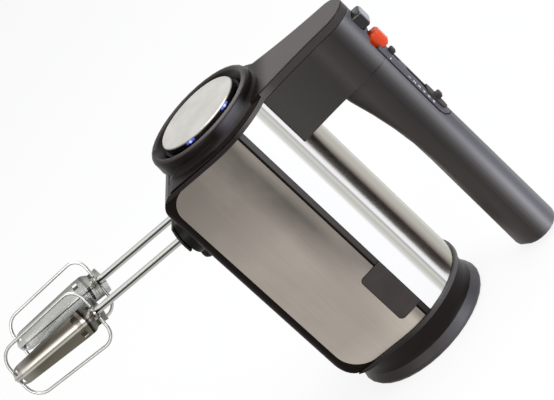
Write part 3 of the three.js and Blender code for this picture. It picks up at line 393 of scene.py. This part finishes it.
def chrome_cover():
    """Polished tube with soft streaks along it; each painted reflection has its place round it.

    The places are in degrees down from the top line, alike on both sides. A faint ridge along
    the top line tips what the tube mirrors.
    """
    lowest = 64
    white, silver = (252, 252, 253), (205, 205, 200)
    paint = Paint("chrome_tube", 0.05, 1.0)
    across, side, _ = paint.axes()
    turn = paint.work("ARCTAN2", paint.work("ABSOLUTE", side), across)
    ridge = paint.reach(turn, math.radians(8))
    paint.bump(paint.work("MULTIPLY", ridge, -1.0), 1.0, 0.0028)
    waver = paint.work("SUBTRACT", paint.grain(14, (1, 1, 0.08)), 0.5)
    angle = paint.work("ADD", turn, paint.work("MULTIPLY", waver, 0.04))
    # Painted reflections under what the tube mirrors: pale and silver bands, the handle's dark
    # band.
    tone = paint.ramp(paint.between(angle, 0, math.radians(lowest)), *spread(0, lowest, (
        (0, (174, 170, 159)), (9, (177, 173, 162)), (13, (158, 152, 143)),
        (17, (128, 120, 114)), (20.5, (150, 140, 133)), (24, (225, 215, 210)),
        (29, (232, 228, 226)), (32, (244, 243, 245)), (33.5, (236, 236, 238)),
        (34.6, (176, 174, 172)), (37, silver), (39, (188, 187, 182)), (42, silver),
        (44.5, white), (lowest, white))))
    lines = paint.grain(420, (1, 1, 0.01), detail=3, roughness=0.6)
    paint.colour(paint.overlay(0.12, tone, lines, (0.35, level(0.35)), (0.7, level(0.75))))
    paint.rough(paint.grain(60), 0.15, 0.21)
    return paint.material


def plated(name, dark, light, low, high, lumps=180):
    """Bare or plated metal: two close tones, faintly clouded."""
    paint = Paint(name, low, 1.0)
    cloud = paint.grain(lumps, roughness=0.6)
    paint.colour(paint.ramp(cloud, (0.3, dark), (0.7, light)))
    paint.rough(paint.grain(lumps / 2), low, high)
    paint.bump(cloud, 0.06, 0.00005)
    return paint.material


def laminated():
    """Stamped iron sheets stacked along the motor."""
    sheet = 1 * MM
    paint = Paint("iron_laminated", 0.5, 0.9)
    _, _, along = paint.axes()
    sheets = paint.waves(along, sheet)
    paint.colour(paint.ramp(sheets, (0.1, shade(70, 72, 76)), (0.5, shade(112, 116, 120))))
    paint.bump(sheets, 0.3, 0.0002)
    paint.rough(paint.grain(200), 0.4, 0.6)
    return paint.material


def wound():
    """Enamelled copper wire, its turns laid side by side."""
    pitch = 1.25 * MM
    paint = Paint("copper_wire", 0.35, 0.9)
    across, side, _ = paint.axes()
    turns = paint.waves(paint.work("ADD", across, side), pitch)
    paint.colour(paint.ramp(turns, (0.0, shade(112, 52, 24)), (0.6, shade(196, 112, 62))))
    paint.bump(turns, 0.4, 0.0003)
    return paint.material


def shaft_steel(hand):
    """Plated rod with evenly spaced painted dark reflections, the first in degrees up from its
    left.
    """
    lines, first = 3, 20
    paint = Paint("shaft_chrome_" + hand, 0.14, 1.0)
    side, _ = BEATERS[hand]
    _, out, up = paint.axes()
    turn = paint.work("ARCTAN2", paint.work("SUBTRACT", up, BEATER_UP),
                      paint.work("SUBTRACT", side * BEATER_OUT, out))
    whole = paint.between(turn, -math.pi, math.pi)
    third = paint.work("FRACT", paint.work("MULTIPLY", whole, lines))
    line = (first / 360 + 0.5) * lines % 1
    # The dark lines are painted reflections.
    paint.colour(paint.ramp(
        third, (0.0, plating(186)), (line - 0.20, plating(172)), (line - 0.14, plating(44)),
        (line + 0.07, plating(46)), (line + 0.14, plating(208)), (line + 0.3, plating(228))))
    paint.rough(paint.grain(500, (0.1, 1, 1)), 0.12, 0.22)
    return paint.material


def blade_steel(hand, *tones):
    """Pressed strip painted paler towards the tip; each painted reflection has its place across
    it.

    The places are in mm from the middle of the strip, the low edge first.
    """
    half = 7
    paint = Paint("blade_chrome_" + hand, 0.28, 1.0)
    side, lean = BEATERS[hand]
    across, out, up = paint.axes()
    aside = paint.work("MULTIPLY", paint.work("SUBTRACT", out, side * BEATER_OUT), -math.sin(lean))
    rise = paint.work("MULTIPLY", paint.work("SUBTRACT", up, BEATER_UP), math.cos(lean))
    place = paint.between(paint.work("ADD", aside, rise), -half * MM, half * MM)
    # The tones across the strip are painted reflections: light ridges and dark flanks.
    tone = paint.ramp(place, *spread(-half, half, tones))
    # Painted light: paler towards the tip.
    painted_tip_light = paint.work("MULTIPLY", paint.between(across, -0.184, -0.210), 0.7)
    tone = paint.mix(painted_tip_light, tone, shade(176, 175, 170))
    cloud = paint.grain(60, (0.3, 1, 1))
    paint.colour(paint.overlay(0.15, tone, cloud))
    paint.rough(cloud, 0.24, 0.34)
    return paint.material


def wire_steel(hand, tone):
    """Plated wire, with faint lines drawn along it."""
    paint = Paint("wire_chrome_" + hand, 0.32, 1.0)
    lines = paint.grain(240, (0.3, 1, 1))
    paint.colour(paint.ramp(lines, (0.3, plating(tone - 9)), (0.7, plating(tone + 9))))
    paint.rough(lines, 0.28, 0.36)
    return paint.material


def light_guide():
    """Dark clear ring round the badge."""
    paint = Paint("light_guide", 0.45, Specular_IOR_Level=0.05)
    paint.colour(paint.ramp(paint.grain(300), (0.3, shade(8, 8, 12)), (0.7, shade(16, 16, 26))))
    paint.rough(paint.grain(500), 0.4, 0.5)
    return paint.material


def lamp_glow(place):
    """Blue lamp behind its lens, almost white at the middle."""
    paint = Paint("lamp_blue", 0.2)
    away = paint.node("VectorMath", operation="DISTANCE")
    away.inputs[1].default_value = place
    paint.put(paint.where, away.inputs[0])
    paint.put(paint.ramp(paint.between(away.outputs["Value"], 0, 0.005),
                         (0.0, shade(225, 235, 255)), (0.14, shade(160, 178, 248)),
                         (0.3, shade(52, 60, 150)), (1.0, shade(14, 14, 46)), smooth=True),
              paint.shader.inputs["Emission Color"])
    paint.colour(paint.ramp(paint.grain(500), (0.3, shade(30, 34, 110)),
                            (0.7, shade(40, 44, 130))))
    paint.shader.inputs["Emission Strength"].default_value = 1.6
    return paint.material


def grip_plastic():
    """Handle plastic with a painted highlight along the shoulders and painted shade below it."""
    paint = Plastic("plastic_grip", 0.4, 0.3)
    across, _, along = paint.axes()
    # Painted light across the handle: shaded underneath, a painted highlight along each shoulder.
    height = paint.between(across, 0.0800, 0.1150)
    tone = paint.ramp(
        height, (0.0, shade(40, 36, 34)), (0.12, shade(50, 45, 42)), (0.2, shade(57, 52, 49)),
        (0.34, shade(46, 41, 38)), (0.571, shade(31, 26, 24)), (0.657, shade(48, 44, 43)),
        (0.73, shade(74, 72, 72)), (0.794, shade(104, 102, 104)), (0.837, shade(119, 118, 121)),
        (0.867, shade(114, 113, 116)), (0.897, shade(97, 96, 100)), (0.927, shade(84, 83, 88)),
        (0.957, shade(80, 79, 84)), (1.0, shade(96, 95, 100)))
    tone = paint.mix(paint.between(across, 0.050, 0.080), shade(54, 50, 48), tone)
    # Painted shade, darkest towards the front and paler towards the rear end.
    tone = paint.overlay(1.0, tone, paint.between(along, 0.0, 0.2), (0.0, level(0.66)),
                         (0.22, level(0.62)), (0.4, level(0.50)), (0.6, level(0.39)),
                         (1.0, level(0.39)))
    return paint.finished(paint.overlay(0.3, tone, paint.fine), 0.38, 0.48)


def neck_plastic():
    """Neck in painted shade, with a painted window highlight and lip highlight; paler on the
    riser.
    """
    paint = Plastic("plastic_neck", 0.34, 0.08)
    across, side, along = paint.axes()
    turn = paint.work("ARCTAN2", side, across)
    riser = paint.between(across, 0.043, 0.052)
    # The lip's painted highlight: on its outermost face, along an arc round the badge.
    ring = paint.ramp(paint.between(paint.reach(across, side), 0.0340, 0.0380), (0.0, BLACK),
                      (0.6, WHITE))
    arc = paint.ramp(paint.between(turn, math.radians(-150), 0), (0.0, BLACK),
                     (0.25, level(0.4)), (0.62, WHITE), (0.85, WHITE), (1.0, level(0.3)))
    face = paint.outermost("front_cover", 2, 0.003, 0.5, 0.8)
    lip = paint.work("MULTIPLY", paint.work("MULTIPLY", face, ring), arc)
    # A painted highlight of a window on the neck.
    window = paint.work(
        "MULTIPLY", paint.patch(turn, math.radians(-76), math.radians(-31), 0.45, 0.6),
        paint.patch(along, 0.2040, 0.2125, 0.5, 0.75))
    # The neck's near black is painted shade on the plastic that shows paler on the riser.
    dark = paint.speckled(shade(12, 6, 5), shade(20, 13, 11))
    pale = paint.speckled(shade(66, 62, 60), shade(80, 75, 73))
    window_highlight = paint.speckled(shade(76, 74, 78), shade(90, 88, 93))
    lip_highlight = paint.speckled(shade(92, 86, 84), shade(106, 100, 98))
    tone = paint.mix(window, paint.mix(lip, dark, lip_highlight), window_highlight)
    return paint.finished(paint.mix(riser, tone, pale), 0.3, 0.38, 0.1, 0.0001)


def knob_plastic():
    """Glossy release knob; its upper face painted pale as a highlight of the window."""
    paint = Plastic("plastic_knob", 0.14, 0.4)
    face = paint.outermost("eject_button", 0, 0.0014, 0.5, 0.85)
    dark = paint.speckled(shade(12, 9, 9), shade(22, 18, 17))
    light = paint.speckled(shade(118, 120, 128), shade(136, 138, 146))
    # Painted highlight on the upper face.
    paint.colour(paint.mix(face, dark, light))
    paint.rough(paint.grain(400), 0.1, 0.18)
    return paint.material


def front_rim_plastic():
    """Front flange, painted light and shade: dark by the panels, palest at the tube, mid grey up
    the riser.
    """
    paint = Plastic("plastic_front_rim", 0.38, 0.15)
    across, _, _ = paint.axes()
    # Painted shade low beside the panels, painted light towards the tube.
    tone = paint.ramp(
        paint.between(across, 0.020, 0.060), (0.0, shade(26, 21, 19)), (0.35, shade(84, 80, 78)),
        (0.65, shade(80, 76, 74)), (0.85, shade(58, 54, 52)), (1.0, shade(55, 51, 49)))
    return paint.finished(paint.overlay(0.3, tone, paint.fine), 0.34, 0.44)


def rear_rim_plastic():
    """Rear flange: painted shade near black beside the panels, painted light towards the handle.
    """
    paint = Plastic("plastic_rear_rim", 0.34, 0.2)
    across, _, _ = paint.axes()
    dark = paint.speckled(shade(22, 17, 15), shade(32, 27, 25))
    pale = paint.speckled(shade(78, 75, 75), shade(92, 89, 89))
    # Painted shade below, painted light towards the handle.
    return paint.finished(paint.mix(paint.between(across, 0.002, 0.046), dark, pale), 0.34, 0.44)


def badge_face():
    """Brushed badge, its turned edge painted darker as shade."""
    paint = Paint("badge_silver", 0.32, 1.0)
    cloud = paint.grain(60)
    face = paint.outermost("medallion", 2, 0.0020, 0.60, 0.95)
    # Painted shade on the turned edge below the face.
    edge_shade = paint.ramp(cloud, (0.3, shade(70, 68, 66)), (0.7, shade(92, 90, 87)))
    clear = paint.ramp(cloud, (0.3, shade(190, 188, 182)), (0.7, shade(206, 204, 198)))
    paint.colour(paint.mix(face, edge_shade, clear))
    paint.rough(cloud, 0.28, 0.36)
    return paint.material


def plate_plastic():
    """Control plate, with the dark joint line round its edge."""
    paint = Plastic("plastic_plate", 0.42, 0.2)
    _, side, along = paint.axes()
    corners = [point.co for point in node["control_plate"].data.vertices]
    half = max(point.y for point in corners)
    foot = min(point.z for point in corners) + half
    below = paint.work("MINIMUM", paint.work("SUBTRACT", along, foot), 0.0)
    edge = paint.between(paint.reach(side, below), half - 0.0009, half - 0.0005)
    plain = paint.speckled(shade(76, 73, 79), shade(92, 89, 96))
    joint = paint.speckled(shade(10, 8, 10), shade(20, 17, 20))
    return paint.finished(paint.mix(edge, plain, joint), 0.4, 0.5, 0.1, 0.0001)


def foot_plastic():
    """Black waist over a foot painted paler towards the top of the mixer, as painted light."""
    paint = Plastic("plastic_foot", 0.36, 0.12)
    across, _, along = paint.axes()
    waist = paint.speckled(shade(14, 8, 7), shade(24, 17, 15))
    # Painted light and shade on the foot, darkest away from the handle, palest towards it.
    foot = paint.ramp(
        paint.between(across, -0.035, 0.045), (0.0, shade(42, 36, 34)), (0.55, shade(64, 60, 59)),
        (0.85, shade(90, 89, 93)), (1.0, shade(74, 72, 74)))
    return paint.finished(paint.mix(paint.between(along, 0.0089, 0.0094), foot, waist), 0.32, 0.42)


def housing_plastic():
    """Black round the side panels, with a paler strip under the chrome tube."""
    paint = Plastic("plastic_housing", 0.36, 0.02)
    across, _, along = paint.axes()
    rim = paint.speckled(shade(18, 13, 11), shade(28, 22, 20))
    strip = paint.ramp(paint.between(along, 0.03, 0.199), (0.0, shade(48, 44, 42)),
                       (1.0, shade(82, 79, 78)))
    return paint.finished(paint.mix(paint.between(across, 0.0212, 0.0217), rim, strip), 0.32, 0.42)


FINISHES = {
    "shell": moulded("plastic_grey", shade(46, 41, 39), shade(62, 56, 53), 0.36, 0.46, 0.2),
    "shell_dark": moulded("plastic_black", shade(26, 22, 21), shade(38, 33, 31),
                          0.30, 0.40, 0.12),
    "chrome": chrome_cover(),
    "brushed": brushed_panel(),
    "beater_steel": plated("beater_chrome", shade(130, 129, 124), shade(166, 165, 160),
                           0.16, 0.26, 160),
    "steel": plated("steel_plain", shade(150, 150, 150), shade(182, 182, 180), 0.26, 0.4),
    "orange": moulded("plastic_orange", shade(208, 60, 14), shade(222, 74, 24),
                      0.24, 0.32, 0.3, 900),
    "light": light_guide(),
    "copper": wound(),
    "iron": laminated(),
    "brass": plated("brass_turned", shade(170, 132, 62), shade(198, 160, 84), 0.24, 0.36),
    "nylon": moulded("nylon_natural", shade(222, 216, 200), shade(232, 228, 214),
                     0.42, 0.55, 0.4, 900),
    "carbon": moulded("carbon_pressed", shade(34, 34, 35), shade(48, 48, 49),
                      0.6, 0.8, 0.2, 1500),
    "board": moulded("board_green", shade(26, 92, 60), shade(36, 108, 72), 0.38, 0.5, 0.4, 700),
    "rubber": moulded("rubber_black", shade(24, 24, 24), shade(34, 34, 34),
                      0.6, 0.75, 0.25, 1800),
}
BY_PIECE = {
    "front_cover": neck_plastic(),
    "rear_cap": foot_plastic(),
    "rear_frame": rear_rim_plastic(),
    "front_frame": front_rim_plastic(),
    "lower_housing": housing_plastic(),
    "handle_housing": grip_plastic(),
    "control_plate": plate_plastic(),
    "medallion": badge_face(),
    "eject_button": knob_plastic(),
    # The far beater's wire is painted paler than the near one's, as painted light.
    "wire_loop_left": wire_steel("left", 172),
    "wire_loop_right": wire_steel("right", 192),
    "beater_boss": moulded("plastic_socket", shade(8, 6, 6), shade(18, 14, 13), 0.3, 0.4, 0.1),
    "beater_shaft_left": shaft_steel("left"),
    "beater_shaft_right": shaft_steel("right"),
    # Painted reflections across each blade: pale ridges, dark flanks, each beater lit its own way.
    "blade_loop_left": blade_steel(
        "left", (-7, (92, 88, 76)), (-2.2, (86, 82, 72)), (-1.5, (176, 174, 164)),
        (-0.6, (164, 162, 154)), (-0.4, (118, 112, 106)), (0.4, (118, 112, 106)),
        (0.8, (196, 190, 180)), (1.7, (192, 186, 176)), (2.4, (148, 140, 130)),
        (3.2, (90, 84, 78)), (4.2, (62, 58, 52)), (6.2, (62, 58, 52)), (7, (76, 73, 66))),
    "blade_loop_right": blade_steel(
        "right", (-7, (150, 152, 150)), (-5.5, (186, 188, 186)), (-2.7, (186, 188, 186)),
        (-2.4, (88, 88, 86)), (-1.8, (88, 88, 86)), (-1.5, (206, 206, 202)),
        (-0.3, (194, 194, 190)), (0.2, (186, 186, 182)), (1.4, (172, 172, 168)),
        (3.5, (164, 165, 160)), (5, (160, 161, 156)), (7, (126, 127, 122))),
}


def finish_of(name):
    """A piece's own finish, or else the one that its slot has."""
    return BY_PIECE.get(name) or FINISHES[subpart[name]["material_slot"]]


for name, piece in node.items():
    piece.data.materials.clear()
    piece.data.materials.append(finish_of(name))


# ---------------------------------------------------------------- moulded and pressed pieces

def pick(piece):
    """Only this piece is selected and active."""
    bpy.ops.object.select_all(action="DESELECT")
    piece.select_set(True)
    bpy.context.view_layer.objects.active = piece


def edit_all():
    """Edit mode, with the whole of the active piece selected."""
    bpy.ops.object.mode_set(mode="EDIT")
    bpy.ops.mesh.select_all(action="SELECT")


def finish_round():
    """The faces of a round piece turned outwards and shaded smooth, and edit mode left."""
    bpy.ops.mesh.normals_make_consistent(inside=False)
    bpy.ops.object.mode_set(mode="OBJECT")
    bpy.ops.object.shade_smooth_by_angle(angle=math.radians(50))


def stand_for(name, piece):
    """The piece takes the place of a solid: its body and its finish."""
    piece.data.materials.clear()
    piece.data.materials.append(finish_of(name))
    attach(piece, node[name]["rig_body"])
    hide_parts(name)


def round_edges(name, radius, smooth):
    """A joined copy of a solid, with its edges rounded as a mould or press leaves them.

    The radius is in mm. Faces that meet at less than smooth degrees are shaded as one.
    """
    merge, flat, sharp = 0.004 * MM, math.radians(0.6), math.radians(30)
    piece = bpy.data.objects.new(name + "_rounded", node[name].data.copy())
    bpy.context.collection.objects.link(piece)
    pick(piece)
    edit_all()
    bpy.ops.mesh.remove_doubles(threshold=merge)
    bpy.ops.mesh.dissolve_limited(angle_limit=flat)
    bpy.ops.object.mode_set(mode="OBJECT")
    if radius:
        bevel = piece.modifiers.new("edges", "BEVEL")
        bevel.width = radius * MM
        bevel.segments = 2
        bevel.limit_method = "ANGLE"
        bevel.angle_limit = sharp
        bevel.use_clamp_overlap = False
        bevel.miter_outer = "MITER_SHARP"
        bpy.ops.object.modifier_apply(modifier="edges")
    bpy.ops.object.shade_smooth_by_angle(angle=math.radians(smooth))
    weighted = piece.modifiers.new("flats", "WEIGHTED_NORMAL")
    weighted.keep_sharp = True
    bpy.ops.object.modifier_apply(modifier="flats")
    stand_for(name, piece)
    return piece


ROUNDED = {
    "front_cover": (0.3, 24), "front_frame": (0.3, 30), "medallion": (0.15, 24),
    "chrome_shell": (0, 40), "lower_housing": (0.2, 30), "side_panel_left": (0.2, 30),
    "side_panel_right": (0.2, 30), "side_tab_left": (0.3, 30), "side_tab_right": (0.3, 30),
    "rear_frame": (0.3, 30), "rear_cap": (0.2, 20), "handle_housing": (0.3, 50),
    "control_plate": (0.15, 30), "cord_inlet": (0.3, 40), "beater_boss": (0.3, 40),
    "socket_plate": (0.2, 40), "eject_button": (0.5, 40), "turbo_button": (0.5, 40),
    "lock_switch": (0.2, 40), "speed_slider": (0.15, 40), "beater_shaft_left": (0, 40),
    "beater_shaft_right": (0, 40), "beater_collar_left": (0.15, 40),
    "beater_collar_right": (0.15, 40), "beater_tip_left": (0.2, 40),
    "beater_tip_right": (0.2, 40),
    "blade_loop_left": (0, 15), "blade_loop_right": (0, 15),
}
rounded = {name: round_edges(name, radius, smooth)
           for name, (radius, smooth) in ROUNDED.items()}


def stretch_strip(hand, factor, **fading):
    """The selected part of a beater's strip made wider or narrower about the beater's axis.

    The further settings say how far the change fades into what lies beside that part.
    """
    side, lean = BEATERS[hand]
    bpy.ops.transform.resize(
        value=(1, 1, factor), orient_type="GLOBAL", orient_matrix_type="GLOBAL",
        orient_matrix=((1, 0, 0), (0, math.cos(lean), math.sin(lean)),
                       (0, -math.sin(lean), math.cos(lean))),
        center_override=(0, side * BEATER_OUT, BEATER_UP), **fading)


def widen_strip(hand):
    """The blade drawn out sideways, and drawn in again over the last of it before the tip."""
    wider, narrower, tip_from, fade = 1.35, 0.45, -205.2 * MM, 12 * MM
    blade = rounded["blade_loop_" + hand]
    pick(blade)
    edit_all()
    stretch_strip(hand, wider)
    bpy.ops.mesh.select_all(action="DESELECT")
    bpy.ops.object.mode_set(mode="OBJECT")
    for corner in blade.data.vertices:
        corner.select = corner.co.x < tip_from
    bpy.ops.object.mode_set(mode="EDIT")
    stretch_strip(hand, narrower, use_proportional_edit=True,
                  proportional_edit_falloff="SMOOTH", proportional_size=fade)
    bpy.ops.object.mode_set(mode="OBJECT")


def draw_on(x, z):
    """The selected end of a wire pulled straight on."""
    bpy.ops.mesh.extrude_region_move(TRANSFORM_OT_translate={"value": (x, 0, z)})


def bend(x, z):
    """The selected end of a wire bent a quarter turn round a point, always the same way."""
    bpy.ops.mesh.spin(steps=8, angle=math.pi / 2, center=(x, 0, z), axis=(0, 1, 0))


def bent_wire(hand):
    """Round wire bent into the open loop of one beater.

    It starts beside the collar, bends over a shoulder at half the loop's width, runs to the tip
    with a slight taper, and bends in again round a toe. The other half mirrors it.
    """
    name = "wire_loop_" + hand
    side, lean = BEATERS[hand]
    radius, start, half, taper = 1.15 * MM, 4.5 * MM, 21 * MM, 1.8 * MM
    top, tip, shoulder, toe = -138.65 * MM, -209.8 * MM, 9.5 * MM, 12 * MM
    bpy.ops.object.select_all(action="DESELECT")
    bpy.ops.mesh.primitive_circle_add(vertices=16, radius=radius, fill_type="NGON",
                                      location=(top, 0, start))
    wire = bpy.context.object
    wire.name = name + "_bent"
    bpy.ops.object.transform_apply(location=True, rotation=True, scale=True)
    edit_all()
    draw_on(0, half - shoulder - start)
    bend(top - shoulder, half - shoulder)
    draw_on(tip + toe - top + shoulder, -taper)
    bend(tip + toe, half - taper - toe)
    draw_on(0, toe + taper - half)
    bpy.ops.mesh.delete(type="ONLY_FACE")
    bpy.ops.mesh.select_all(action="SELECT")
    bpy.ops.mesh.remove_doubles(threshold=0.001 * MM)
    bpy.ops.object.mode_set(mode="OBJECT")
    mirror = wire.modifiers.new("other_half", "MIRROR")
    mirror.use_axis = (False, False, True)
    mirror.merge_threshold = 0.005 * MM
    bpy.ops.object.modifier_apply(modifier="other_half")
    edit_all()
    bpy.ops.transform.rotate(value=-lean, orient_axis="X", center_override=(0, 0, 0))
    bpy.ops.transform.translate(value=(0, side * BEATER_OUT, BEATER_UP))
    finish_round()
    stand_for(name, wire)


for hand in BEATERS:
    widen_strip(hand)
    bent_wire(hand)


# ---------------------------------------------------------------- numbers and lamps

PRINT = moulded("print_white", shade(232, 232, 236), shade(248, 248, 250), 0.5, 0.6, 0.3, 1200)


def print_on_handle(text, side, along, height):
    """A thin printed mark on the control plate, with its foot towards the rear."""
    ink, over_handle = 0.03 * MM, Vector((0.14, side, along))
    bpy.ops.object.select_all(action="DESELECT")
    bpy.ops.object.text_add()
    mark = bpy.context.object
    mark.name = "mark_" + (text if text.isdigit() else "lock")
    mark.data.body = text
    mark.data.size = height
    mark.data.extrude = ink
    mark.data.align_x = mark.data.align_y = "CENTER"
    _, place, normal, _ = rounded["control_plate"].ray_cast(over_handle, Vector((-1, 0, 0)))
    right = Vector((0, 0, 1)).cross(normal).normalized()
    turn = Matrix((right, normal.cross(right), normal)).transposed().to_4x4()
    mark.matrix_world = Matrix.Translation(place + normal * ink) @ turn
    bpy.ops.object.convert(target="MESH")
    bpy.ops.object.transform_apply(location=True, rotation=True, scale=True)
    mark = bpy.context.object
    mark.data.materials.clear()
    mark.data.materials.append(PRINT)
    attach(mark, node["control_plate"]["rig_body"])


number_one, number_pitch = 142.5 * MM, 4.5 * MM
for step in range(6):
    print_on_handle(str(step + 1), side=-6.3 * MM, along=number_one - number_pitch * step,
                    height=3.1 * MM)
print_on_handle("-", side=-6.5 * MM, along=160.5 * MM, height=5 * MM)


def on_lamp_ring(angle):
    """The place at that angle on the ring of lamps."""
    return (LAMP_RING * math.cos(angle), LAMP_RING * math.sin(angle), LAMP_UP)


def lamp_lens(name, angle):
    """Short curved lens in the gap round the badge."""
    radius, half = 0.75 * MM, math.radians(6)
    bpy.ops.object.select_all(action="DESELECT")
    bpy.ops.mesh.primitive_circle_add(
        vertices=12, radius=radius, fill_type="NGON", location=on_lamp_ring(angle + half),
        rotation=(math.pi / 2, 0, angle + half))
    lens = bpy.context.object
    lens.name = name
    bpy.ops.object.transform_apply(location=True, rotation=True, scale=True)
    edit_all()
    bpy.ops.mesh.spin(steps=8, angle=2 * half, center=(0, 0, 0), axis=(0, 0, 1))
    bpy.ops.mesh.select_all(action="SELECT")
    bpy.ops.mesh.remove_doubles(threshold=0.001 * MM)
    finish_round()
    lens.data.materials.append(lamp_glow(on_lamp_ring(angle)))
    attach(lens, node["light_ring"]["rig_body"])


lamp_lens("lamp_low", math.radians(-100.5))
lamp_lens("lamp_high", math.radians(-43.5))
